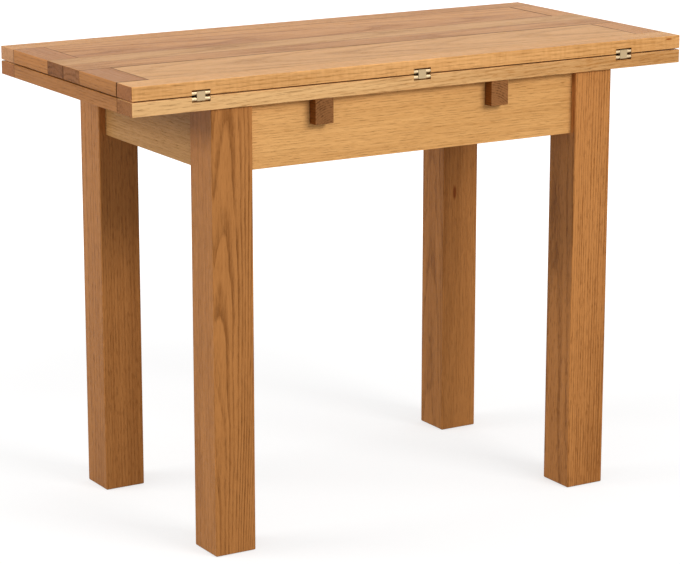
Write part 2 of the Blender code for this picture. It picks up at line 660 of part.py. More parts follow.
def main():
    """Builds the closed table on one empty for each body."""
    clear_scene()
    frame = empty("frame", (0.0, 0.0, 0.0))
    sliding_top = empty("sliding_top", (0.0, 0.0, LOWER_UNDER), frame)
    hinge_links = empty("hinge_links", (0.0, PIN_Y, LOWER_PIN_Z), sliding_top)
    flip_leaf = empty("flip_leaf", (0.0, PIN_Y, UPPER_PIN_Z), hinge_links)
    make_frame(frame)
    make_runners(sliding_top, frame)
    make_lower_leaf(sliding_top)
    make_buffers(sliding_top)
    make_upper_leaf(flip_leaf)
    make_hinges(sliding_top, hinge_links, flip_leaf)


main()
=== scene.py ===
"""Looks of a fold-over dining table: oiled oak, brass double-pin hinges, screws and a plain studio."""

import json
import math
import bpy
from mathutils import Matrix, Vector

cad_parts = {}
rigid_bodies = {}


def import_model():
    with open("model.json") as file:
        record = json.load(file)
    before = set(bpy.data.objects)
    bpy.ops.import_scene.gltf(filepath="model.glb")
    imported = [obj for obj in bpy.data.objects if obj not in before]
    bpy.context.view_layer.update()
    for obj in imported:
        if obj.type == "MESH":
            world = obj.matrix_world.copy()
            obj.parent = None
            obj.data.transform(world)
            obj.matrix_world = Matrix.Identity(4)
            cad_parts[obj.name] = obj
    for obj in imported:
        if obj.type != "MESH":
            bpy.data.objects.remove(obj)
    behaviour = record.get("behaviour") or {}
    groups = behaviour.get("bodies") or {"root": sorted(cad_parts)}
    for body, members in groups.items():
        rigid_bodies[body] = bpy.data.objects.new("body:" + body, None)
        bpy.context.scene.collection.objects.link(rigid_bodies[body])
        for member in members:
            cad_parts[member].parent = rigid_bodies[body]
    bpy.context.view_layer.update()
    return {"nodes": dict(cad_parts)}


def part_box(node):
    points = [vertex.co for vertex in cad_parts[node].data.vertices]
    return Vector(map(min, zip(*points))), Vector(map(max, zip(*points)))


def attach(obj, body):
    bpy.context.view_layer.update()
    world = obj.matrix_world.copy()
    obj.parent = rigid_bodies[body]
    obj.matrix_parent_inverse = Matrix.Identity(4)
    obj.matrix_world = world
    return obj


bl_info = {
    "name": "Extending dining table looks",
    "version": (1, 0, 0),
    "blender": (4, 5, 0),
    "location": "View3D > Sidebar > Dining table",
    "description": "Oak, brass, steel and felt finishes, screws and a studio for a fold-over table",
    "category": "Object",
}

from typing import NamedTuple

import bmesh
import bpy
from mathutils import Matrix, Vector

for leftover in list(bpy.data.objects):
    bpy.data.objects.remove(leftover, do_unlink=True)
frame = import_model()

# Words that the names of the pieces are made of
SIDES = ("left", "right")
DEPTHS = ("front", "back")
LEVELS = ("lower", "upper")
HINGES = ("left", "middle", "right")

# Octaves of noise, and how much each finer one counts beside the last
PLAIN = 1.0
FINE = 2.0
RICH = 3.0
DENSE = 4.0
EVEN_SHARE = 0.5
ROUGH_SHARE = 0.6
TANGLED_SHARE = 0.7
HALF = 0.5

# Oak figure, as waves per metre along the grain, across it and through the board
BEND_WAVES = (1.2, 6.0, 6.0)
RIPPLE_WAVES = (9.0, 30.0, 30.0)
UNEVEN_WAVES = (1.0, 70.0, 1.0)
PATCH_WAVES = (9.0, 60.0, 60.0)
STREAK_WAVES = (5.0, 260.0, 260.0)
FIBRE_WAVES = (24.0, 1100.0, 1100.0)
DASH_WAVES = (65.0, 430.0, 430.0)
PORE_WAVES = (45.0, 1900.0, 1900.0)
CLOUD_WAVES = (2.2, 26.0, 26.0)
MOTTLE_WAVES = (190.0, 25.0, 25.0)
RAY_WAVES = (30.0, 500.0, 60.0)
SEED_STEP = (3.7, 1.31, 0.73)

# How far the rings leave their true circles, in metres
BEND_AMOUNT = 0.010
RIPPLE_AMOUNT = 0.0025
UNEVEN_AMOUNT = 0.004

# One ring: a dark start of earlywood that fades, stronger in some years and in some places
EARLY_SHARE = 0.55
EARLY_START = 0.88
YEAR_RANGE = 0.6
YEAR_LEAST = 0.45
PATCH_LOW = 0.35
PATCH_HIGH = 0.65
PATCH_LEAST = 0.35
BAND_MIDDLE = 0.20

# Oak tones, as shares of the step from the light colour to the dark one
TONE_MIDDLE = 0.33
STREAK_TONE = 0.95
FIBRE_TONE = 0.55
CLOUD_TONE = 0.95
DASH_LOW = 0.52
DASH_HIGH = 0.72
PORE_LOW = 0.56
PORE_HIGH = 0.68
PORE_LATE = 0.35
PORE_TONE = 0.45
RAY_LOW = 0.58
RAY_HIGH = 0.70
RAY_SWING = 2.0
RAY_TONE = 0.16
END_BAND = 1.2
END_STREAK = 2.4
END_CLOUD = 1.6
END_DARK = (0.40, 0.34, 0.30, 1.0)
END_LOW = 0.55
END_HIGH = 0.85
KNOT_STRETCH = (0.28, 1.0, 1.0)
KNOT_CORE = 0.35
KNOT_REACH = 3.0
KNOT_DARK = (0.72, 0.48, 0.32, 1.0)

# Oak surface
ROUGH_LEAST = 0.36
PORE_ROUGH = 0.15
END_ROUGH = 0.15
STREAK_ROUGH = 0.20
EARLY_SINK = -0.25
STREAK_RISE = 0.5

# Board edges: how close a side lies to the outside to count as outer, and how far off unused sides are put
SAME_SIDE = 0.0005
FAR = 1.0
# Seams: dark lines at the joints, partly the joints' own colour and partly painted shade of grooves, gaps
# and the corners where parts meet
SEAM_WAVES = (12.0, 12.0, 12.0)
SEAM_CORE = 0.55
SEAM_LEAST = 0.45
SEAM_DARK_AND_SHADE = (0.10, 0.07, 0.05, 1.0)
# Paler arrises, in patches: partly oil rubbed thin and partly a painted highlight
WEAR_AND_HIGHLIGHT_WAVES = (25.0, 25.0, 25.0)
WEAR_AND_HIGHLIGHT_LOW = 0.35
WEAR_AND_HIGHLIGHT_HIGH = 0.65
WEAR_AND_HIGHLIGHT_SHARE = 0.6
WEAR_AND_HIGHLIGHT_TINT = (1.30, 1.26, 1.20, 1.0)

# Satin metal, brushed along X and dulled in clouds
BRUSH_WAVES = (300.0, 6000.0, 6000.0)
BRUSH_ROUGH = 0.25
BRUSH_DEPTH = 0.00004
DULL_WAVES = (220.0, 220.0, 220.0)
DULL_LOW = 0.45
DULL_HIGH = 0.72
DULL_ROUGH = 0.12
DULL_SINK = -0.5
SHARP_ANGLE = math.radians(40)

# Felt
FELT_WAVES = (1800.0, 1800.0, 1800.0)
FELT_PALE = 1.9
FELT_ROUGH = 0.95
FELT_SHEEN = 0.3
FELT_DEPTH = 0.0002

# Screws in a hinge plate, sideways from its middle and in from its back edge
PLATE_SCREWS = ((-0.009, 0.021), (0.009, 0.021), (0.0, 0.010))

# Screws in a runner, along from its middle, out from its middle and up from its underside
RUNNER_SCREWS = (-0.170, 0.0, 0.170)
RUNNER_SCREW_OUT = 0.006
RUNNER_SEAT = 0.018

# Shape of the screws: the crown of a pan head is given in shares of the head's radius and rise
SCREW_SIDES = 20
SCREW_TURN = math.radians(37)
HEAD_SINK = 0.0001
HEAD_EDGE = 0.0003
PAN_CROWN = ((0.0, 1.0), (0.55, 0.97), (0.85, 0.75), (1.0, 0.3), (1.0, 0.0))
TIP_TAPER = 3.0
RECESS_SPAN = 1.2
RECESS_ARMS = 4
UPSIDE_DOWN = Matrix.Rotation(math.pi, 4, "X")
MERGE = 1e-7

# Studio: each lamp has its power setting, its place and its size
FLOOR_SIZE = 30.0
FLOOR_DROP = 0.0005
FLOOR_FADE = (0.8, 2.2)
LAMPS = {
    "front_lamp": ("front_power", (1.3, -3.7, 2.5), (2.0, 1.2)),
    "left_lamp": ("left_power", (-4.0, 1.4, 2.1), (2.4, 1.0)),
}
LAMP_AIM = (0.0, 0.0, 0.5)
SENSOR_WIDTH = 36.0
WHITE = (1.0, 1.0, 1.0, 1.0)


def length_prop(name, description, default):
    """A size in metres that a user may change."""
    return bpy.props.FloatProperty(
        name=name, description=description, default=default, min=0.0, unit="LENGTH", precision=4
    )


def share_prop(name, description, default):
    """A share from 0 to 1 that a user may change."""
    return bpy.props.FloatProperty(
        name=name, description=description, default=default, min=0.0, max=1.0, subtype="FACTOR"
    )


def level_prop(name, description, default):
    """A plain positive amount that a user may change."""
    return bpy.props.FloatProperty(name=name, description=description, default=default, min=0.0)


def colour_prop(name, description, default):
    """A colour in linear light that a user may change."""
    return bpy.props.FloatVectorProperty(
        name=name, description=description, default=default, size=3, min=0.0, max=1.0, subtype="COLOR"
    )


class OakLooks(bpy.types.PropertyGroup):
    """Colours of the oak boards, as latewood, earlywood and end grain, and the oiled finish on them."""

    tan_light: colour_prop("Tan light", "Latewood of the golden boards", (0.79, 0.415, 0.155))
    tan_dark: colour_prop("Tan dark", "Earlywood of the golden boards", (0.50, 0.225, 0.062))
    tan_end: colour_prop("Tan end", "End grain of the golden boards", (0.365, 0.143, 0.052))
    honey_light: colour_prop("Honey light", "Latewood of the lower front rail", (0.84, 0.50, 0.215))
    honey_dark: colour_prop("Honey dark", "Earlywood of the lower front rail", (0.46, 0.195, 0.050))
    honey_end: colour_prop("Honey end", "End grain of the lower front rail", (0.376, 0.153, 0.052))
    fawn_light: colour_prop("Fawn light", "Latewood of the upper back rail", (0.66, 0.31, 0.095))
    fawn_dark: colour_prop("Fawn dark", "Earlywood of the upper back rail", (0.40, 0.155, 0.038))
    fawn_end: colour_prop("Fawn end", "End grain of the upper back rail", (0.525, 0.262, 0.122))
    rose_light: colour_prop("Rose light", "Latewood of the pinkish boards", (0.60, 0.28, 0.090))
    rose_dark: colour_prop("Rose dark", "Earlywood of the pinkish boards", (0.36, 0.14, 0.035))
    rose_end: colour_prop("Rose end", "End grain of the pinkish boards", (0.33, 0.136, 0.052))
    russet_light: colour_prop("Russet light", "Latewood of the reddish end boards", (0.55, 0.224, 0.060))
    russet_dark: colour_prop("Russet dark", "Earlywood of the reddish end boards", (0.325, 0.119, 0.027))
    russet_end: colour_prop("Russet end", "End grain of the reddish end boards", (0.28, 0.11, 0.030))
    straw_light: colour_prop("Straw light", "Latewood of the aprons", (0.75, 0.40, 0.143))
    straw_dark: colour_prop("Straw dark", "Earlywood of the aprons", (0.47, 0.215, 0.060))
    straw_end: colour_prop("Straw end", "End grain of the aprons", (0.30, 0.14, 0.050))
    amber_light: colour_prop("Amber light", "Latewood of the legs", (0.49, 0.203, 0.058))
    amber_dark: colour_prop("Amber dark", "Earlywood of the legs", (0.27, 0.098, 0.023))
    amber_end: colour_prop("Amber end", "End grain of the legs", (0.20, 0.085, 0.030))
    # The runners' long grain is partly dark oak and partly painted shade on their sides under the leaf
    umber_light: colour_prop("Umber light", "Latewood of the runners, darkened as painted shade", (0.21, 0.070, 0.013))
    umber_dark: colour_prop("Umber dark", "Earlywood of the runners, darkened as painted shade", (0.11, 0.035, 0.006))
    umber_end: colour_prop("Umber end", "End grain of the runners", (0.27, 0.110, 0.036))
    pale_light: colour_prop("Pale light", "Latewood of the unoiled wood inside", (0.60, 0.38, 0.18))
    pale_dark: colour_prop("Pale dark", "Earlywood of the unoiled wood inside", (0.42, 0.23, 0.09))
    pale_end: colour_prop("Pale end", "End grain of the unoiled wood inside", (0.34, 0.19, 0.085))
    ring_width: length_prop("Ring width", "Usual width of one growth ring", 0.0038)
    pore_depth: length_prop("Pore depth", "Depth of the open pores under the oil", 0.00025)
    # Width of the paler arrises, which are partly worn oil and partly a painted highlight
    rub_width: length_prop("Rub width", "How far in from an arris the oil has rubbed thin and a highlight is painted", 0.0030)
    gloss: share_prop("Gloss", "How much light the oiled face throws back", 0.05)


class MetalLooks(bpy.types.PropertyGroup):
    """Colours of the metal and felt pieces."""

    brass: colour_prop("Brass", "Clean brass of the hinges and their screws", (0.60, 0.455, 0.275))
    # The links' brass is a darker copy of the plates' brass: painted shade
    brass_link_shaded: colour_prop("Link brass", "Brass of the links, darker than the plates as painted shade", (0.43, 0.315, 0.18))
    brass_dull: colour_prop("Dull brass", "Brass where fingers and oil have dulled it", (0.40, 0.29, 0.16))
    brass_roughness: share_prop("Brass roughness", "Satin of the brass", 0.32)
    zinc: colour_prop("Zinc", "Zinc plate on the bolts and wood screws", (0.62, 0.62, 0.60))
    zinc_dull: colour_prop("Dull zinc", "Zinc plate where it has clouded", (0.40, 0.40, 0.39))
    zinc_roughness: share_prop("Zinc roughness", "Satin of the zinc plate", 0.38)
    felt: colour_prop("Felt", "Brown felt of the buffers", (0.20, 0.13, 0.08))


class ScrewSizes(bpy.types.PropertyGroup):
    """Sizes of the screws that hold the hinges and the runners."""

    hinge_head: length_prop("Hinge screw head", "Radius of a countersunk head in a hinge plate", 0.0040)
    hinge_shank: length_prop("Hinge screw shank", "Radius of a hinge screw's shank", 0.0019)
    hinge_length: length_prop("Hinge screw length", "Length of a hinge screw", 0.014)
    runner_head: length_prop("Runner screw head", "Radius of a pan head in a runner", 0.0044)
    runner_rise: length_prop("Runner screw rise", "Height of a pan head in a runner", 0.0026)
    runner_shank: length_prop("Runner screw shank", "Radius of a runner screw's shank", 0.0020)
    runner_length: length_prop("Runner screw length", "Length of a runner screw", 0.034)
    recess_width: length_prop("Recess width", "Width of one arm of the cross in a head", 0.0009)
    recess_depth: length_prop("Recess depth", "Depth of the cross in a head", 0.0011)


class StudioLooks(bpy.types.PropertyGroup):
    """The camera, the lamps and the white background."""

    camera_place: bpy.props.FloatVectorProperty(
        name="Camera place",
        description="Where the camera stands",
        default=(-2.2289, -3.7036, 1.4111),
        subtype="TRANSLATION",
    )
    camera_bearing: bpy.props.FloatProperty(
        name="Camera bearing",
        description="How far the view is turned from straight at the front",
        default=math.radians(-30.935),
        subtype="ANGLE",
    )
    camera_dip: bpy.props.FloatProperty(
        name="Camera dip",
        description="How far the view looks down",
        default=math.radians(13.792),
        subtype="ANGLE",
    )
    camera_lens: bpy.props.FloatProperty(
        name="Camera lens", description="Focal length of the lens", default=139.92, unit="CAMERA"
    )
    front_power: level_prop("Front lamp", "Power of the large soft lamp in front", 97.0)
    left_power: level_prop("Left lamp", "Power of the large soft lamp on the left", 80.0)
    ambient: share_prop("Ambient", "Strength of the light from all round", 0.66)
    floor_grey: share_prop("Floor grey", "How pale the floor is to the light that falls on it", 0.40)
    floor_glow: share_prop("Floor glow", "What lifts the seen floor to white outside the shadow", 0.64)


class Wiring:
    """Adds and links nodes in one shader tree."""

    MIX_FACTOR, MIX_FIRST, MIX_SECOND, MIX_RESULT = 0, 6, 7, 2

    def __init__(self, tree):
        self.tree = tree

    def node(self, kind, inputs=None, **settings):
        """A new node with its settings, whose inputs are values or other nodes' outputs."""
        made = self.tree.nodes.new(kind)
        for name, value in settings.items():
            setattr(made, name, value)
        for key, value in (inputs or {}).items():
            self.feed(made.inputs[key], value)
        return made

    def feed(self, socket, value):
        """Links an output to a socket, or sets the socket's plain value."""
        if isinstance(value, bpy.types.NodeSocket):
            self.tree.links.new(value, socket)
        else:
            socket.default_value = value

    def math(self, operation, first, second=0.0, third=0.0):
        """One sum on plain values."""
        inputs = {0: first, 1: second, 2: third}
        return self.node("ShaderNodeMath", inputs, operation=operation).outputs[0]

    def total(self, *values):
        """All the values added up."""
        result = values[0]
        for value in values[1:]:
            result = self.math("ADD", result, value)
        return result

    def scaled(self, value, middle, amount):
        """How far a value lies from the middle, times an amount."""
        return self.math("MULTIPLY", self.math("SUBTRACT", value, middle), amount)

    def vector(self, operation, first, second=(0.0, 0.0, 0.0)):
        """One sum on vectors."""
        made = self.node("ShaderNodeVectorMath", {0: first, 1: second}, operation=operation)
        plain = operation in ("LENGTH", "DOT_PRODUCT")
        return made.outputs["Value" if plain else "Vector"]

    def stretched(self, value, amount):
        """A vector times a plain value."""
        return self.node("ShaderNodeVectorMath", {0: value, "Scale": amount}, operation="SCALE").outputs[0]

    def parts(self, value):
        """The X, Y and Z of a vector."""
        return tuple(self.node("ShaderNodeSeparateXYZ", {0: value}).outputs)

    def joined(self, x, y, z):
        """A vector from its X, Y and Z."""
        return self.node("ShaderNodeCombineXYZ", {0: x, 1: y, 2: z}).outputs[0]

    def noise(self, place, waves, detail=FINE, roughness=EVEN_SHARE):
        """Smooth noise with so many waves per metre along each axis."""
        inputs = {"Vector": self.vector("MULTIPLY", place, waves), "Scale": 1.0}
        inputs.update({"Detail": detail, "Roughness": roughness})
        return self.node("ShaderNodeTexNoise", inputs).outputs[0]

    def step(self, value, low, high, start=0.0, stop=1.0):
        """Goes smoothly from start to stop as the value goes from low to high."""
        inputs = {0: value, 1: low, 2: high, 3: start, 4: stop}
        return self.node("ShaderNodeMapRange", inputs, interpolation_type="SMOOTHSTEP").outputs[0]

    def mix(self, factor, first, second, blend="MIX"):
        """Two colours mixed."""
        inputs = {self.MIX_FACTOR: factor, self.MIX_FIRST: first, self.MIX_SECOND: second}
        made = self.node("ShaderNodeMix", inputs, data_type="RGBA", blend_type=blend)
        return made.outputs[self.MIX_RESULT]


def opaque(colour):
    """A colour property as the four numbers that a socket takes."""
    return (*colour, 1.0)


def new_group(name, inputs, outputs):
    """A shader node group with its named sockets, and its wiring, input and output nodes."""
    tree = bpy.data.node_groups.new(name, "ShaderNodeTree")
    for direction, sockets in (("INPUT", inputs), ("OUTPUT", outputs)):
        for label, kind in sockets:
            tree.interface.new_socket(label, in_out=direction, socket_type=f"NodeSocket{kind}")
    wiring = Wiring(tree)
    source = wiring.node("NodeGroupInput").outputs
    target = wiring.node("NodeGroupOutput").inputs
    return wiring, source, target


def ring_distance(w, source, shifted):
    """How far each point lies from the tree's heart, which leans along the board, and the parts of it."""
    place = source["Place"]
    along = w.parts(place)[0]
    heart = w.vector("ADD", source["Heart"], w.stretched(source["Lean"], along))
    _, across, up = w.parts(w.vector("SUBTRACT", place, heart))
    straight = w.math("SQRT", w.total(w.math("MULTIPLY", across, across), w.math("MULTIPLY", up, up)))
    bend = w.scaled(w.noise(shifted, BEND_WAVES, PLAIN), HALF, BEND_AMOUNT)
    ripple = w.scaled(w.noise(shifted, RIPPLE_WAVES), HALF, RIPPLE_AMOUNT)
    grown = w.total(straight, bend, ripple)
    by_year = w.noise(w.joined(0.0, grown, source["Seed"]), UNEVEN_WAVES, PLAIN)
    return w.total(grown, w.scaled(by_year, HALF, UNEVEN_AMOUNT)), straight, along, across, up


def oak_group():
    """Solid oak in board coordinates, X along the grain: rings, fibres, pores, rays and end grain."""
    name = "oak_grain"
    if name in bpy.data.node_groups:
        return bpy.data.node_groups[name]
    inputs = [("Place", "Vector"), ("Facing", "Vector"), ("Heart", "Vector"), ("Lean", "Vector")]
    inputs += [("Drift", "Vector"), ("Knot", "Vector"), ("Knot Size", "Float"), ("Seed", "Float")]
    inputs += [("Ring Width", "Float"), ("Figure", "Float"), ("Dashes", "Float"), ("Mottle", "Float")]
    inputs += [("Light", "Color"), ("Dark", "Color"), ("End", "Color")]
    outputs = [("Color", "Color"), ("Roughness", "Float"), ("Height", "Float"), ("End Grain", "Float")]
    w, source, target = new_group(name, inputs, outputs)
    place = source["Place"]
    shifted = w.vector("ADD", place, w.stretched(SEED_STEP, source["Seed"]))
    grown, straight, along, across, up = ring_distance(w, source, shifted)

    # The rings part round a knot
    from_knot = w.vector("MULTIPLY", w.vector("SUBTRACT", place, source["Knot"]), KNOT_STRETCH)
    knot_far = w.math("DIVIDE", w.vector("LENGTH", from_knot), source["Knot Size"])
    knot = w.step(knot_far, KNOT_CORE, 1.0, 1.0, 0.0)
    knot_push = w.math("MULTIPLY", w.step(knot_far, 0.0, KNOT_REACH, 1.0, 0.0), source["Knot Size"])

    # Each ring starts with a dark band of earlywood and fades to latewood
    rings = w.math("DIVIDE", w.total(grown, knot_push), source["Ring Width"])
    share = w.math("FRACT", rings)
    number = w.math("ADD", w.math("FLOOR", rings), source["Seed"])
    year = w.node("ShaderNodeTexWhiteNoise", {"W": number}, noise_dimensions="1D").outputs["Value"]
    early = w.math("MAXIMUM", w.step(share, 0.0, EARLY_SHARE, 1.0, 0.0), w.step(share, EARLY_START, 1.0))
    patch = w.step(w.noise(shifted, PATCH_WAVES), PATCH_LOW, PATCH_HIGH, PATCH_LEAST, 1.0)
    strength = w.math("MULTIPLY", w.math("ADD", w.math("MULTIPLY", year, YEAR_RANGE), YEAR_LEAST), patch)
    band = w.math("MULTIPLY", early, strength)

    # Streaks, fibres, pores and rays
    streak = w.noise(shifted, STREAK_WAVES, RICH, ROUGH_SHARE)
    fibre = w.noise(shifted, FIBRE_WAVES)
    cloud = w.noise(shifted, CLOUD_WAVES, RICH, ROUGH_SHARE)
    mottle = w.noise(shifted, MOTTLE_WAVES)
    dash = w.step(w.noise(shifted, DASH_WAVES, PLAIN), DASH_LOW, DASH_HIGH)
    pore_place = w.step(w.noise(shifted, PORE_WAVES, PLAIN), PORE_LOW, PORE_HIGH)
    pore = w.math("MULTIPLY", pore_place, w.math("ADD", early, PORE_LATE))
    angle = w.math("MULTIPLY", w.math("ARCTAN2", up, across), w.vector("LENGTH", source["Heart"]))
    ray_place = w.joined(along, w.math("ADD", angle, source["Seed"]), straight)
    ray = w.step(w.noise(ray_place, RAY_WAVES), RAY_LOW, RAY_HIGH)
    outward = w.vector("NORMALIZE", w.joined(0.0, across, up))
    flat_sawn = w.math("ABSOLUTE", w.vector("DOT_PRODUCT", outward, source["Facing"]))
    ray_tone = w.math("MULTIPLY", ray, w.scaled(flat_sawn, HALF, RAY_SWING))

    # Long grain runs between the two colours, and end grain has its own
    tone = w.total(
        TONE_MIDDLE,
        w.math("MULTIPLY", w.math("SUBTRACT", band, BAND_MIDDLE), source["Figure"]),
        w.math("MULTIPLY", dash, source["Dashes"]),
        w.math("MULTIPLY", w.math("SUBTRACT", mottle, HALF), source["Mottle"]),
        # The drift tilts the tone across the board; on the legs and the left end boards it carries painted
        # light and shade
        w.vector("DOT_PRODUCT", place, source["Drift"]),
        w.scaled(streak, HALF, STREAK_TONE),
        w.scaled(fibre, HALF, FIBRE_TONE),
        w.scaled(cloud, HALF, CLOUD_TONE),
        w.math("MULTIPLY", ray_tone, RAY_TONE),
    )
    long_grain = w.mix(tone, source["Light"], source["Dark"])
    end_tone = w.total(
        w.math("MULTIPLY", w.math("MULTIPLY", band, source["Figure"]), END_BAND),
        w.scaled(streak, HALF, END_STREAK),
        w.scaled(cloud, HALF, END_CLOUD),
    )
    end_dark = w.mix(1.0, source["End"], END_DARK, "MULTIPLY")
    end_grain = w.mix(end_tone, source["End"], end_dark)
    facing_end = w.step(w.math("ABSOLUTE", w.parts(source["Facing"])[0]), END_LOW, END_HIGH)
    w.feed(target["End Grain"], facing_end)
    wood = w.mix(facing_end, long_grain, end_grain)
    with_pores = w.mix(w.math("MULTIPLY", pore, PORE_TONE), wood, source["Dark"])
    dark_knot = w.mix(1.0, source["Dark"], KNOT_DARK, "MULTIPLY")
    w.feed(target["Color"], w.mix(knot, with_pores, dark_knot))
    rough = w.total(
        ROUGH_LEAST,
        w.math("MULTIPLY", pore, PORE_ROUGH),
        w.math("MULTIPLY", facing_end, END_ROUGH),
        w.scaled(streak, HALF, STREAK_ROUGH),
    )
    w.feed(target["Roughness"], rough)
    height = w.total(
        w.scaled(pore, 0.0, -1.0),
        w.scaled(early, 0.0, EARLY_SINK),
        w.scaled(streak, HALF, STREAK_RISE),
    )
    w.feed(target["Height"], height)
    return w.tree


def edge_group():
    """Two masks from a board's sides: dark seams at its joints, partly their own dark line and partly
    painted shade of grooves and gaps, and paler arrises between outer sides, partly oil rubbed thin and
    partly a painted highlight.
    """
    name = "board_edges"
    if name in bpy.data.node_groups:
        return bpy.data.node_groups[name]
    inputs = [("Place", "Vector"), ("Joint Low", "Vector"), ("Joint High", "Vector")]
    inputs += [("Outer Low", "Vector"), ("Outer High", "Vector")]
    inputs += [("Seam Width", "Float"), ("Rub Width", "Float")]
    w, source, target = new_group(name, inputs, [("Seam", "Float"), ("Rub", "Float")])
    insets = {}
    for sides in ("Joint", "Outer"):
        from_low = w.vector("SUBTRACT", source["Place"], source[f"{sides} Low"])
        from_high = w.vector("SUBTRACT", source[f"{sides} High"], source["Place"])
        insets[sides] = w.parts(w.vector("MINIMUM", from_low, from_high))
    # Seams: dark joint lines, partly their own colour and partly painted shade
    x, y, z = insets["Joint"]
    nearest = w.math("MINIMUM", w.math("MINIMUM", x, y), z)
    uneven = w.math("ADD", w.noise(source["Place"], SEAM_WAVES), SEAM_LEAST)
    seam_far = w.math("DIVIDE", nearest, w.math("MULTIPLY", source["Seam Width"], uneven))
    w.feed(target["Seam"], w.step(seam_far, SEAM_CORE, 1.0, 1.0, 0.0))
    # Paler arrises: partly oil rubbed thin and partly a painted highlight
    x, y, z = insets["Outer"]
    second = w.math("MAXIMUM", w.math("MINIMUM", x, y), w.math("MINIMUM", w.math("MAXIMUM", x, y), z))
    worn_and_highlit = w.step(w.math("DIVIDE", second, source["Rub Width"]), 0.0, 1.0, 1.0, 0.0)
    patchy_wear_and_highlight = w.step(w.noise(source["Place"], WEAR_AND_HIGHLIGHT_WAVES, RICH), WEAR_AND_HIGHLIGHT_LOW, WEAR_AND_HIGHLIGHT_HIGH)
    w.feed(target["Rub"], w.math("MULTIPLY", worn_and_highlit, patchy_wear_and_highlight))
    return w.tree


class Board(NamedTuple):
    """How one board was sawn: its tone, its grain's axis, and where the heart lay from its middle."""

    tone: str
    grain: str
    heart: tuple = (0.0, -0.09)
    lean: tuple = (0.0, 0.0)
    figure: float = 0.25
    rings: float = 1.0
    dashes: float = 0.25
    mottle: float = 0.0
    drift: tuple = (0.0, 0.0, 0.0)
    brighter: float = 1.0
    ends: float = 1.0
    seam: float = 0.0006
    end_seam: float = 0.0006
    seams: tuple = ("-x", "+x", "-y", "+y")
    knot: tuple = (0.0, 0.0, 0.0)
    knot_size: float = 0.0001


# Board coordinates are (along the grain, across, up or through) for grain along X, Y and Z
GRAIN_ORDER = {"X": (0, 1, 2), "Y": (1, 0, 2), "Z": (2, 0, 1)}

UPPER_BOARDS = {
    "upper_front_rail": Board(
        "tan", "X", (0.05, -0.05), (0.0, 0.02), mottle=0.6, drift=(0.25, 0.0, 0.0),
        brighter=1.035, ends=0.95, knot=(0.487, -0.0249, 0.006), knot_size=0.0024,
    ),
    "upper_back_rail": Board(
        "fawn", "X", (0.02, -0.07), (0.0, 0.03), mottle=0.6, drift=(0.2, -4.0, 0.0), brighter=1.03,
    ),
    "upper_panel_front": Board(
        "tan", "X", (0.01, -0.10), (0.0, 0.05), figure=0.4, rings=2.5,
        brighter=0.94, seam=0.0014, seams=("-x", "+x", "+y"),
    ),
    "upper_panel_back": Board(
        "rose", "X", (-0.02, -0.09), (0.0, -0.04), figure=0.5, rings=2.5,
        drift=(-0.25, -4.0, 0.0), brighter=1.10,
    ),
    "upper_centre_board_front": Board(
        "rose", "X", (0.0, -0.06), (0.0, 0.03), figure=0.5, rings=2.5,
        ends=0.89, seam=0.0018, end_seam=0.0003, seams=("-y",),
    ),
    "upper_centre_board_back": Board(
        "tan", "X", (0.01, -0.08), (0.0, -0.03), figure=0.4, rings=2.5, drift=(-0.2, 0.0, 0.0),
        brighter=0.86, ends=0.76, seam=0.0003, end_seam=0.0022, seams=("-y",),
    ),
    # The up part of this drift is painted sheen: the board lighter towards its top and darker towards its
    # underside
    "upper_end_board_front_left": Board(
        "russet", "Y", (0.04, -0.05), drift=(0.0, 5.0, -48.0), brighter=0.81, seam=0.0030, seams=("-y",),
    ),
    "upper_end_board_front_right": Board(
        "rose", "Y", (-0.03, -0.06), drift=(0.0, 2.0, 0.0), brighter=1.12, seam=0.0010, seams=("-x",),
    ),
    # The up part of this drift is painted sheen: the board lighter towards its top and darker towards its
    # underside
    "upper_end_board_back_left": Board(
        "russet", "Y", (0.03, -0.06), drift=(0.0, 4.0, -22.0), brighter=0.90,
    ),
    "upper_end_board_back_right": Board(
        "rose", "Y", (-0.04, -0.05), brighter=1.14, seam=0.0034, seams=("-x",),
    ),
}
LOWER_BOARDS = {
    "lower_front_rail": Board(
        "honey", "X", (0.04, 0.05), (0.02, 0.04), drift=(0.85, 0.0, 0.0), brighter=0.96, ends=0.955,
    ),
    "lower_back_rail": Board("tan", "X", (0.02, -0.07), ends=1.02),
    "lower_end_board_left": Board("russet", "Y", (0.02, 0.06), brighter=0.80),
    "lower_end_board_right": Board("russet", "Y", (-0.03, 0.05)),
    "lower_field_board_1": Board("tan", "X", (0.01, 0.09), (0.0, 0.04)),
    "lower_field_board_2": Board("tan", "X", (-0.03, 0.07), (0.0, -0.03)),
    "lower_field_board_3": Board("tan", "X", (0.02, 0.08), (0.0, 0.02)),
}
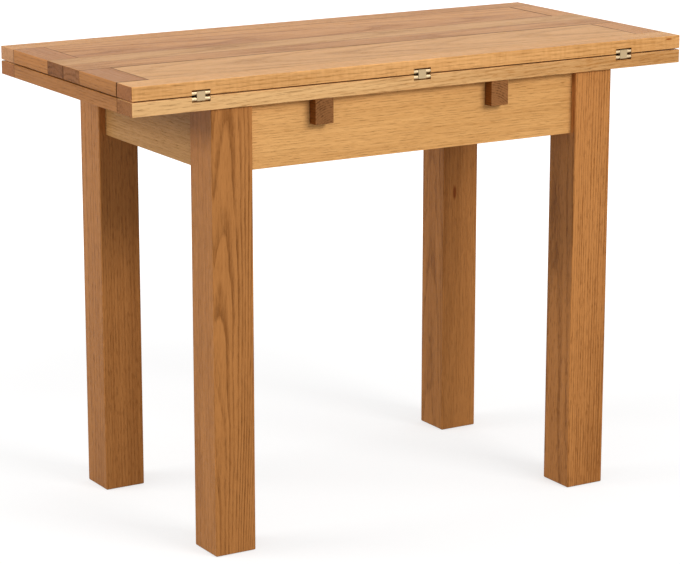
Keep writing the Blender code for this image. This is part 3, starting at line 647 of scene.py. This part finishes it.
FRAME_BOARDS = {
    # The legs' drifts are painted light and shade: along a leg they make it lighter or darker towards the
    # top, and across it they make one side lighter or darker than the others
    "leg_front_left": Board(
        "amber", "Z", (-0.030, 0.045), (0.06, 0.025), figure=1.05, rings=0.75,
        drift=(0.12, 0.0, 0.0), brighter=1.01,
    ),
    "leg_front_right": Board(
        "amber", "Z", (0.10, 0.014), (0.010, 0.012), figure=0.9, rings=1.15, dashes=0.5, mottle=0.2,
        drift=(-0.5, 5.0, 0.0), brighter=1.115,
    ),
    "leg_back_left": Board(
        "amber", "Z", (0.08, 0.05), dashes=0.4, drift=(-0.7, 4.0, 0.0), brighter=0.955,
    ),
    "leg_back_right": Board(
        "amber", "Z", (0.09, 0.004), (0.012, -0.010), figure=0.45, rings=0.75, dashes=0.25,
        drift=(0.5, -3.0, 0.0), brighter=0.98, knot=(0.083, -0.013, -0.0355), knot_size=0.0050,
    ),
    "apron_front": Board("straw", "X", (-0.06, 0.12), figure=0.12, drift=(0.70, 0.0, 0.0), brighter=1.07),
    "apron_back": Board("straw", "X", (0.07, 0.10), figure=0.15),
    # The left apron is made darker (brighter 0.69) as painted shade from the leaf above
    "apron_left": Board("straw", "Y", (0.08, 0.10), figure=0.15, brighter=0.69),
    "apron_right": Board("straw", "Y", (-0.07, 0.10), figure=0.15),
    "guide_rail_left": Board("pale", "Y", (0.04, 0.06)),
    "guide_rail_right": Board("pale", "Y", (-0.05, 0.05)),
    "guide_tongue_left": Board("pale", "Y", (0.03, 0.05)),
    "guide_tongue_right": Board("pale", "Y", (-0.03, 0.05)),
}
RUNNER_BOARDS = {
    # The runners' sides carry painted shade in their long-grain colour
    "runner_left": Board("umber", "Y", (0.02, -0.05), figure=1.0, brighter=1.20, ends=0.84),
    "runner_right": Board("umber", "Y", (-0.02, -0.05), figure=1.0, brighter=1.21, ends=0.94),
}
BLOCK_BOARD = Board("pale", "Z", (0.05, 0.05))

# Seeds that keep the figure of the boards apart
SEED_GAP = 1.7
UPPER_SEED = 1.0
LOWER_SEED = 23.0
FRAME_SEED = 41.0
RUNNER_SEED = 83.0
BLOCK_SEED = 97.0


def new_material(name):
    """An empty node material, with its wiring, its Principled shader and the object's own coordinates."""
    material = bpy.data.materials.new(name)
    material.use_nodes = True
    wiring = Wiring(material.node_tree)
    shader = material.node_tree.nodes["Principled BSDF"]
    place = wiring.node("ShaderNodeTexCoord").outputs
    return material, wiring, shader, place


def lighter(colour, amount):
    """A colour made brighter or darker by one factor."""
    return tuple(min(channel * amount, 1.0) for channel in colour)


def board_order(w, value, grain):
    """A vector turned into board coordinates."""
    axes = w.parts(value)
    return w.joined(*(axes[index] for index in GRAIN_ORDER[grain]))


def side_corners(node_name, seams, outer):
    """A board's seamed sides and outer sides as corners, each with all other sides moved far away."""
    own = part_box(node_name)
    corners = {"Joint": [], "Outer": []}
    for sign, own_corner, outer_corner, away in zip("-+", own, outer, (-FAR, FAR)):
        at_outside = [abs(a - b) < SAME_SIDE for a, b in zip(own_corner, outer_corner)]
        seamed = [f"{sign}{axis}" in seams and not out for axis, out in zip("xyz", at_outside)]
        for sides, kept in (("Outer", at_outside), ("Joint", seamed)):
            corners[sides].append(tuple(a if keep else a + away for a, keep in zip(own_corner, kept)))
    return corners


def oak_material(node_name, board, seed, looks, outer):
    """The oak of one board, sawn as its row says, in a group of boards with that outer box."""
    material, w, shader, coordinates = new_material(f"oak_{node_name}")
    low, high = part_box(node_name)
    middle = tuple((low + high) / 2)
    place = board_order(w, w.vector("SUBTRACT", coordinates["Object"], middle), board.grain)
    grain = w.node("ShaderNodeGroup", node_tree=oak_group())
    values = {
        "Place": place,
        "Facing": board_order(w, coordinates["Normal"], board.grain),
        "Heart": (0.0, *board.heart),
        "Lean": (0.0, *board.lean),
        "Drift": board.drift,
        "Knot": board.knot,
        "Knot Size": board.knot_size,
        "Seed": seed,
        "Ring Width": looks.ring_width * board.rings,
        "Figure": board.figure,
        "Dashes": board.dashes,
        "Mottle": board.mottle,
    }
    for part in ("light", "dark", "end"):
        colour = getattr(looks, f"{board.tone}_{part}")
        bright = board.brighter * (board.ends if part == "end" else 1.0)
        values[part.title()] = opaque(lighter(colour, bright))
    for label, value in values.items():
        w.feed(grain.inputs[label], value)
    edges = w.node("ShaderNodeGroup", node_tree=edge_group())
    w.feed(edges.inputs["Place"], coordinates["Object"])
    seam_width = w.math("MULTIPLY_ADD", grain.outputs["End Grain"], board.end_seam - board.seam, board.seam)
    w.feed(edges.inputs["Seam Width"], seam_width)
    w.feed(edges.inputs["Rub Width"], looks.rub_width)
    for sides, (low_corner, high_corner) in side_corners(node_name, board.seams, outer).items():
        w.feed(edges.inputs[f"{sides} Low"], low_corner)
        w.feed(edges.inputs[f"{sides} High"], high_corner)
    oiled = grain.outputs["Color"]
    # Paler arrises: partly oil rubbed thin and partly a painted highlight
    wear_and_highlight_share = w.math("MULTIPLY", edges.outputs["Rub"], WEAR_AND_HIGHLIGHT_SHARE)
    worn_and_highlit = w.mix(wear_and_highlight_share, oiled, w.mix(1.0, oiled, WEAR_AND_HIGHLIGHT_TINT, "MULTIPLY"))
    # Seams darkened: partly the joints' own colour and partly painted shade of grooves and gaps
    dark_seam_and_shade = w.mix(1.0, worn_and_highlit, SEAM_DARK_AND_SHADE, "MULTIPLY")
    seam = edges.outputs["Seam"]
    w.feed(shader.inputs["Base Color"], w.mix(seam, worn_and_highlit, dark_seam_and_shade))
    w.feed(shader.inputs["Roughness"], w.math("MAXIMUM", grain.outputs["Roughness"], seam))
    shader.inputs["Specular IOR Level"].default_value = looks.gloss
    bump = w.node("ShaderNodeBump", {"Height": grain.outputs["Height"], "Distance": looks.pore_depth})
    w.feed(shader.inputs["Normal"], bump.outputs["Normal"])
    return material


def dress(node_name, material):
    """Gives a node of the frame its material."""
    node = frame["nodes"][node_name]
    if not node.material_slots:
        node.data.materials.append(material)
    for slot in node.material_slots:
        slot.material = material


def joined_box(node_names):
    """The box round several nodes of the frame."""
    boxes = [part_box(node_name) for node_name in node_names]
    low = tuple(min(box[0][axis] for box in boxes) for axis in range(3))
    high = tuple(max(box[1][axis] for box in boxes) for axis in range(3))
    return low, high


def dress_boards(boards, first_seed, looks, glued=False):
    """Gives each board its own oak, with a figure of its own; glued boards share their outer sides."""
    shared = joined_box(boards) if glued else None
    for number, (node_name, board) in enumerate(boards.items()):
        seed = first_seed + number * SEED_GAP
        dress(node_name, oak_material(node_name, board, seed, looks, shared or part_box(node_name)))


def metal_group():
    """Satin metal: fine brushing along X, and clouds where it has dulled."""
    name = "satin_metal"
    if name in bpy.data.node_groups:
        return bpy.data.node_groups[name]
    inputs = [("Place", "Vector"), ("Clean", "Color"), ("Dull", "Color"), ("Satin", "Float")]
    outputs = [("Color", "Color"), ("Roughness", "Float"), ("Height", "Float")]
    w, source, target = new_group(name, inputs, outputs)
    brushed = w.noise(source["Place"], BRUSH_WAVES)
    dulled = w.step(w.noise(source["Place"], DULL_WAVES, DENSE, ROUGH_SHARE), DULL_LOW, DULL_HIGH)
    w.feed(target["Color"], w.mix(dulled, source["Clean"], source["Dull"]))
    brush_rough = w.scaled(brushed, HALF, BRUSH_ROUGH)
    dull_rough = w.scaled(dulled, 0.0, DULL_ROUGH)
    w.feed(target["Roughness"], w.total(source["Satin"], brush_rough, dull_rough))
    w.feed(target["Height"], w.total(w.scaled(brushed, HALF, 1.0), w.scaled(dulled, 0.0, DULL_SINK)))
    return w.tree


def metal_material(name, clean, dull, satin):
    """A satin metal finish."""
    if name in bpy.data.materials:
        return bpy.data.materials[name]
    material, w, shader, coordinates = new_material(name)
    metal = w.node("ShaderNodeGroup", node_tree=metal_group())
    values = {"Place": coordinates["Object"], "Satin": satin}
    values.update({"Clean": opaque(clean), "Dull": opaque(dull)})
    for label, value in values.items():
        w.feed(metal.inputs[label], value)
    shader.inputs["Metallic"].default_value = 1.0
    w.feed(shader.inputs["Base Color"], metal.outputs["Color"])
    w.feed(shader.inputs["Roughness"], metal.outputs["Roughness"])
    bump = w.node("ShaderNodeBump", {"Height": metal.outputs["Height"], "Distance": BRUSH_DEPTH})
    w.feed(shader.inputs["Normal"], bump.outputs["Normal"])
    return material


def brass_material(looks):
    """Brass of the hinges and their screws."""
    return metal_material("brass_satin", looks.brass, looks.brass_dull, looks.brass_roughness)


def shaded_link_material(looks):
    """Brass of the links, darker than the plates' brass as painted shade."""
    return metal_material("brass_worn", looks.brass_link_shaded, looks.brass_dull, looks.brass_roughness)


def zinc_material(looks):
    """Zinc plate of the bolts, pins and wood screws."""
    return metal_material("zinc_plate", looks.zinc, looks.zinc_dull, looks.zinc_roughness)


def felt_material(looks):
    """Pressed felt: tangled fibres with a soft sheen."""
    material, w, shader, coordinates = new_material("felt")
    tangle = w.noise(coordinates["Object"], FELT_WAVES, DENSE, TANGLED_SHARE)
    pale = lighter(looks.felt, FELT_PALE)
    w.feed(shader.inputs["Base Color"], w.mix(tangle, opaque(looks.felt), opaque(pale)))
    shader.inputs["Roughness"].default_value = FELT_ROUGH
    shader.inputs["Sheen Weight"].default_value = FELT_SHEEN
    bump = w.node("ShaderNodeBump", {"Height": tangle, "Distance": FELT_DEPTH})
    w.feed(shader.inputs["Normal"], bump.outputs["Normal"])
    return material


def smooth_group():
    """Geometry nodes that shade round metal smooth and keep its sharp corners."""
    name = "smooth_round_metal"
    if name in bpy.data.node_groups:
        return bpy.data.node_groups[name]
    tree = bpy.data.node_groups.new(name, "GeometryNodeTree")
    for direction in ("INPUT", "OUTPUT"):
        tree.interface.new_socket("Geometry", in_out=direction, socket_type="NodeSocketGeometry")
    w = Wiring(tree)
    source = w.node("NodeGroupInput").outputs[0]
    angle = w.node("GeometryNodeInputMeshEdgeAngle").outputs["Unsigned Angle"]
    compare = {"data_type": "FLOAT", "operation": "GREATER_THAN"}
    sharp = w.node("FunctionNodeCompare", {0: angle, 1: SHARP_ANGLE}, **compare)
    faces = w.node("GeometryNodeSetShadeSmooth", {"Geometry": source, "Shade Smooth": True}, domain="FACE")
    inputs = {"Geometry": faces.outputs[0], "Selection": sharp.outputs[0], "Shade Smooth": False}
    edges = w.node("GeometryNodeSetShadeSmooth", inputs, domain="EDGE")
    w.feed(w.node("NodeGroupOutput").inputs[0], edges.outputs[0])
    return tree


def shade_smooth(piece):
    """Shades one round piece smooth."""
    modifier = piece.modifiers.new("smooth_round_metal", "NODES")
    modifier.node_group = smooth_group()


def lathe(profile):
    """A closed round body from its outline of radius and height, from one end of the axis to the other."""
    bm = bmesh.new()
    corners = [bm.verts.new((radius, 0.0, height)) for radius, height in profile]
    lines = [bm.edges.new(pair) for pair in zip(corners, corners[1:])]
    upright = {"cent": (0.0, 0.0, 0.0), "axis": (0.0, 0.0, 1.0)}
    bmesh.ops.spin(bm, geom=corners + lines, angle=math.tau, steps=SCREW_SIDES, **upright)
    bmesh.ops.remove_doubles(bm, verts=bm.verts, dist=MERGE)
    bmesh.ops.recalc_face_normals(bm, faces=bm.faces)
    return bm


def cross_bar(span, width, depth):
    """A bar of cross section, which stands through the face of a screw head to cut its recess."""
    bm = bmesh.new()
    reach, half = span / 2, width / 2
    arm = [Vector((reach, -half, -depth)), Vector((reach, half, -depth)), Vector((half, half, -depth))]
    turns = [Matrix.Rotation(math.tau * turn / RECESS_ARMS, 3, "Z") for turn in range(RECESS_ARMS)]
    outline = bm.faces.new([bm.verts.new(turn @ corner) for turn in turns for corner in arm])
    raised = bmesh.ops.extrude_face_region(bm, geom=[outline])["geom"]
    tops = [item for item in raised if isinstance(item, bmesh.types.BMVert)]
    bmesh.ops.translate(bm, verts=tops, vec=(0.0, 0.0, 2 * depth))
    bmesh.ops.recalc_face_normals(bm, faces=bm.faces)
    return bm


def as_object(bm, name):
    """A scene object from a bmesh, which is freed."""
    mesh = bpy.data.meshes.new(name)
    bm.to_mesh(mesh)
    bm.free()
    made = bpy.data.objects.new(name, mesh)
    bpy.context.scene.collection.objects.link(made)
    return made


def screw_mesh(name, profile, head_top, head_radius, sizes):
    """One screw along Z with a cross recess in its head."""
    screw = as_object(lathe(profile), name)
    cutter_form = cross_bar(head_radius * RECESS_SPAN, sizes.recess_width, sizes.recess_depth)
    bmesh.ops.translate(cutter_form, verts=cutter_form.verts, vec=(0.0, 0.0, head_top))
    cutter = as_object(cutter_form, f"{name}_recess")
    cut = screw.modifiers.new("recess", "BOOLEAN")
    cut.operation = "DIFFERENCE"
    cut.object = cutter
    bpy.context.view_layer.update()
    made = bpy.data.meshes.new_from_object(screw.evaluated_get(bpy.context.evaluated_depsgraph_get()))
    bpy.data.objects.remove(screw, do_unlink=True)
    bpy.data.objects.remove(cutter, do_unlink=True)
    return made


def countersunk_profile(sizes):
    """Outline of a hinge screw, with the face of its head at height 0."""
    head, shank, length = sizes.hinge_head, sizes.hinge_shank, sizes.hinge_length
    neck = -HEAD_EDGE - (head - shank)
    countersink = ((0.0, 0.0), (head, 0.0), (head, -HEAD_EDGE), (shank, neck))
    return (*countersink, (shank, -length + TIP_TAPER * shank), (0.0, -length))


def pan_profile(sizes):
    """Outline of a runner screw, with the underside of its head at height 0."""
    shank, length = sizes.runner_shank, sizes.runner_length
    crown = ((out * sizes.runner_head, up * sizes.runner_rise) for out, up in PAN_CROWN)
    return (*crown, (shank, 0.0), (shank, -length + TIP_TAPER * shank), (0.0, -length))


def set_screws(name, mesh, places, material, body):
    """One piece of equal screws, each turned a little further than the last, that rides with a body."""
    bm = bmesh.new()
    for number, place in enumerate(places):
        turned = mesh.copy()
        turned.transform(place @ Matrix.Rotation(SCREW_TURN * number, 4, "Z"))
        bm.from_mesh(turned)
        bpy.data.meshes.remove(turned)
    screws = as_object(bm, name)
    screws.data.materials.append(material)
    shade_smooth(screws)
    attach(screws, body)


def plate_places(level):
    """Where the plate screws of one leaf stand: heads up in the lower leaf and down in the upper one."""
    places = []
    for hinge in HINGES:
        low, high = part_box(f"hinge_plate_{level}_{hinge}")
        face = high.z - HEAD_SINK if level == "lower" else low.z + HEAD_SINK
        turn = Matrix() if level == "lower" else UPSIDE_DOWN
        for sideways, inward in PLATE_SCREWS:
            spot = Vector(((low.x + high.x) / 2 + sideways, high.y - inward, face))
            places.append(Matrix.Translation(spot) @ turn)
    return places


def runner_places():
    """Where the screws stand in the wells of the runners, heads down."""
    places = []
    for side, outward in zip(SIDES, (-1, 1)):
        low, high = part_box(f"runner_{side}")
        middle = (low + high) / 2
        for along in RUNNER_SCREWS:
            spot = Vector((middle.x + outward * RUNNER_SCREW_OUT, middle.y + along, low.z + RUNNER_SEAT))
            places.append(Matrix.Translation(spot) @ UPSIDE_DOWN)
    return places


class DINING_TABLE_OT_drive_screws(bpy.types.Operator):
    """Drive the screws of the hinge plates and of the runners"""

    bl_idname = "dining_table.drive_screws"
    bl_label = "Drive the screws"

    def execute(self, context):
        sizes, looks = context.scene.table_screws, context.scene.table_metal
        hinge_screw = screw_mesh("hinge_screw", countersunk_profile(sizes), 0.0, sizes.hinge_head, sizes)
        for level, body in zip(LEVELS, ("sliding_top", "flip_leaf")):
            places = plate_places(level)
            set_screws(f"hinge_screws_{level}", hinge_screw, places, brass_material(looks), body)
        head_top, head_radius = sizes.runner_rise, sizes.runner_head
        runner_screw = screw_mesh("runner_screw", pan_profile(sizes), head_top, head_radius, sizes)
        zinc = zinc_material(looks)
        set_screws("runner_screws", runner_screw, runner_places(), zinc, "sliding_top")
        return {"FINISHED"}


class DINING_TABLE_OT_finish_leaves(bpy.types.Operator):
    """Give every board of the two leaves its own oak"""

    bl_idname = "dining_table.finish_leaves"
    bl_label = "Finish the leaves"

    def execute(self, context):
        looks = context.scene.table_oak
        dress_boards(UPPER_BOARDS, UPPER_SEED, looks, glued=True)
        dress_boards(LOWER_BOARDS, LOWER_SEED, looks, glued=True)
        return {"FINISHED"}


class DINING_TABLE_OT_finish_frame(bpy.types.Operator):
    """Give the legs, aprons, guide rails, corner blocks and bolts their finishes"""

    bl_idname = "dining_table.finish_frame"
    bl_label = "Finish the frame"

    def execute(self, context):
        looks = context.scene.table_oak
        dress_boards(FRAME_BOARDS, FRAME_SEED, looks)
        corners = [f"{depth}_{side}" for depth in DEPTHS for side in SIDES]
        dress_boards({f"corner_block_{corner}": BLOCK_BOARD for corner in corners}, BLOCK_SEED, looks)
        for corner in corners:
            dress(f"leg_bolt_{corner}", zinc_material(context.scene.table_metal))
        return {"FINISHED"}


class DINING_TABLE_OT_finish_runners(bpy.types.Operator):
    """Give the two runners their darker oak"""

    bl_idname = "dining_table.finish_runners"
    bl_label = "Finish the runners"

    def execute(self, context):
        dress_boards(RUNNER_BOARDS, RUNNER_SEED, context.scene.table_oak)
        return {"FINISHED"}


class DINING_TABLE_OT_finish_hinges(bpy.types.Operator):
    """Give the hinge plates, links and pins their brass and steel"""

    bl_idname = "dining_table.finish_hinges"
    bl_label = "Finish the hinges"

    def execute(self, context):
        looks = context.scene.table_metal
        for hinge in HINGES:
            round_metal = {f"hinge_link_{hinge}": shaded_link_material(looks)}
            for level in LEVELS:
                round_metal[f"hinge_pin_{level}_{hinge}"] = zinc_material(looks)
                round_metal[f"hinge_plate_{level}_{hinge}"] = brass_material(looks)
            for node_name, material in round_metal.items():
                dress(node_name, material)
                shade_smooth(frame["nodes"][node_name])
        return {"FINISHED"}


class DINING_TABLE_OT_finish_buffers(bpy.types.Operator):
    """Give the two buffers between the leaves their felt"""

    bl_idname = "dining_table.finish_buffers"
    bl_label = "Finish the buffers"

    def execute(self, context):
        felt = felt_material(context.scene.table_metal)
        for side in SIDES:
            dress(f"leaf_buffer_{side}", felt)
            shade_smooth(frame["nodes"][f"leaf_buffer_{side}"])
        return {"FINISHED"}


def seen_directly(w):
    """1 on rays that show the background, straight or through a reflection, and 0 on lighting rays."""
    rays = w.node("ShaderNodeLightPath").outputs
    glossy = w.math("MAXIMUM", rays["Is Glossy Ray"], rays["Is Transmission Ray"])
    return w.math("MAXIMUM", rays["Is Camera Ray"], glossy)


def make_floor(looks):
    """A pale floor that takes the table's shadow and is white elsewhere."""
    bm = bmesh.new()
    bmesh.ops.create_grid(bm, x_segments=1, y_segments=1, size=FLOOR_SIZE / 2)
    floor = as_object(bm, "floor")
    floor.location.z = -FLOOR_DROP
    material, w, shader, coordinates = new_material("studio_floor")
    grey = looks.floor_grey
    shader.inputs["Base Color"].default_value = (grey, grey, grey, 1.0)
    shader.inputs["Roughness"].default_value = 1.0
    shader.inputs["Specular IOR Level"].default_value = 0.0
    shader.inputs["Emission Color"].default_value = WHITE
    far = w.step(w.vector("LENGTH", coordinates["Object"]), *FLOOR_FADE, looks.floor_glow, 1.0)
    w.feed(shader.inputs["Emission Strength"], w.math("MULTIPLY", seen_directly(w), far))
    floor.data.materials.append(material)


def make_world(looks):
    """White all round to the eye, and an even soft light on the table."""
    world = bpy.data.worlds.new("studio_world")
    world.use_nodes = True
    w = Wiring(world.node_tree)
    background = world.node_tree.nodes["Background"]
    background.inputs["Color"].default_value = WHITE
    seen = seen_directly(w)
    w.feed(background.inputs["Strength"], w.step(seen, 0.0, 1.0, looks.ambient, 1.0))
    bpy.context.scene.world = world


def make_lamp(name, power, place, size):
    """A large soft lamp aimed at the table."""
    lamp = bpy.data.lights.new(name, "AREA")
    lamp.shape = "RECTANGLE"
    lamp.size, lamp.size_y = size
    lamp.energy = power
    holder = bpy.data.objects.new(name, lamp)
    holder.location = place
    holder.rotation_euler = (Vector(LAMP_AIM) - Vector(place)).to_track_quat("-Z", "Y").to_euler()
    bpy.context.scene.collection.objects.link(holder)


def make_camera(looks):
    """A camera at the photograph's viewing angle."""
    lens = bpy.data.cameras.new("camera")
    lens.sensor_fit = "HORIZONTAL"
    lens.sensor_width = SENSOR_WIDTH
    lens.lens = looks.camera_lens
    camera = bpy.data.objects.new("camera", lens)
    camera.location = looks.camera_place
    camera.rotation_euler = (math.pi / 2 - looks.camera_dip, 0.0, looks.camera_bearing)
    bpy.context.scene.collection.objects.link(camera)
    bpy.context.scene.camera = camera


class DINING_TABLE_OT_set_stage(bpy.types.Operator):
    """Set the floor, the white background, the lamps and the camera"""

    bl_idname = "dining_table.set_stage"
    bl_label = "Set the stage"

    def execute(self, context):
        looks = context.scene.table_studio
        make_floor(looks)
        make_world(looks)
        for name, (power, place, size) in LAMPS.items():
            make_lamp(name, getattr(looks, power), place, size)
        make_camera(looks)
        context.scene.view_settings.view_transform = "Standard"
        return {"FINISHED"}


OPERATORS = (
    DINING_TABLE_OT_set_stage,
    DINING_TABLE_OT_finish_leaves,
    DINING_TABLE_OT_finish_frame,
    DINING_TABLE_OT_finish_runners,
    DINING_TABLE_OT_finish_hinges,
    DINING_TABLE_OT_finish_buffers,
    DINING_TABLE_OT_drive_screws,
)
LOOKS = {
    "table_oak": OakLooks,
    "table_metal": MetalLooks,
    "table_screws": ScrewSizes,
    "table_studio": StudioLooks,
}


class DINING_TABLE_PT_looks(bpy.types.Panel):
    """Lists the steps that dress the table"""

    bl_idname = "DINING_TABLE_PT_looks"
    bl_label = "Dining table"
    bl_space_type = "VIEW_3D"
    bl_region_type = "UI"
    bl_category = "Dining table"

    def draw(self, context):
        for operator in OPERATORS:
            self.layout.operator(operator.bl_idname)


CLASSES = (*LOOKS.values(), *OPERATORS, DINING_TABLE_PT_looks)


def register():
    """Adds the classes and the scene's settings."""
    for made in CLASSES:
        bpy.utils.register_class(made)
    for name, group in LOOKS.items():
        setattr(bpy.types.Scene, name, bpy.props.PointerProperty(type=group))


def unregister():
    """Takes the settings and the classes away again."""
    for name in LOOKS:
        delattr(bpy.types.Scene, name)
    for made in reversed(CLASSES):
        bpy.utils.unregister_class(made)


def main():
    """Dresses the table step by step."""
    register()
    bpy.ops.dining_table.set_stage()
    bpy.ops.dining_table.finish_leaves()
    bpy.ops.dining_table.finish_frame()
    bpy.ops.dining_table.finish_runners()
    bpy.ops.dining_table.finish_hinges()
    bpy.ops.dining_table.finish_buffers()
    bpy.ops.dining_table.drive_screws()


if __name__ == "__main__":
    main()
